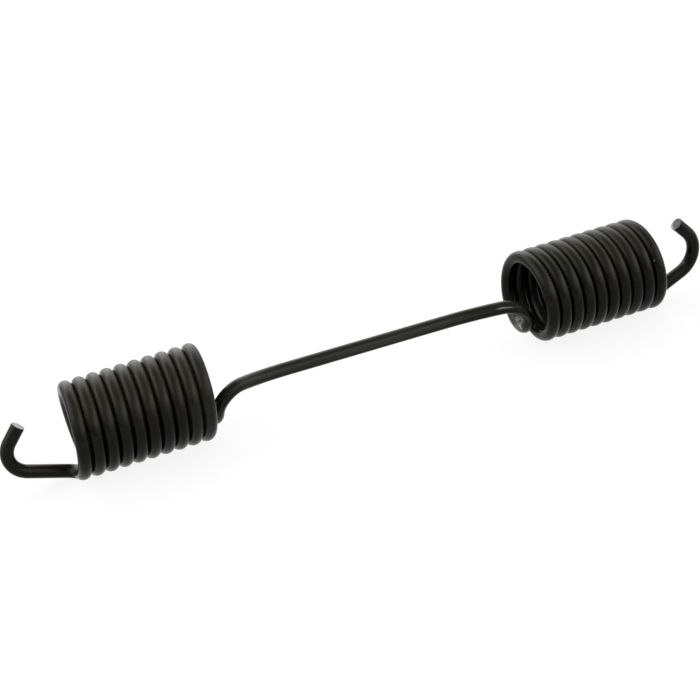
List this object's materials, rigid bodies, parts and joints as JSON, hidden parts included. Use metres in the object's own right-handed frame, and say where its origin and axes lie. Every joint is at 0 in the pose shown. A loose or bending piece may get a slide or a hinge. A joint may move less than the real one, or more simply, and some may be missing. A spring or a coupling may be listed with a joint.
{
  "type": "brake shoe spring",
  "caption": "Wire extension spring that pulls drum brake shoes back from the drum: close-wound coils joined by a straight bar, with open hooks at the ends.",
  "frame": {"origin": "middle of the bar's length, on the line through both coils", "axes": "+X runs along the bar from the smaller hook to the larger one; the smaller hook lies in the XZ plane and the larger one is turned 3 degrees from it about Z, and their open tips point towards +Z"},
  "size_m": [0.2512, 0.0341, 0.0328],
  "materials": {
    "spring_steel": "near-black oil-tempered oxide skin, lightly oiled, with a soft sheen"
  },
  "bodies": {
    "root": {"spring_wire": "spring_steel"}
  },
  "joints": []
}
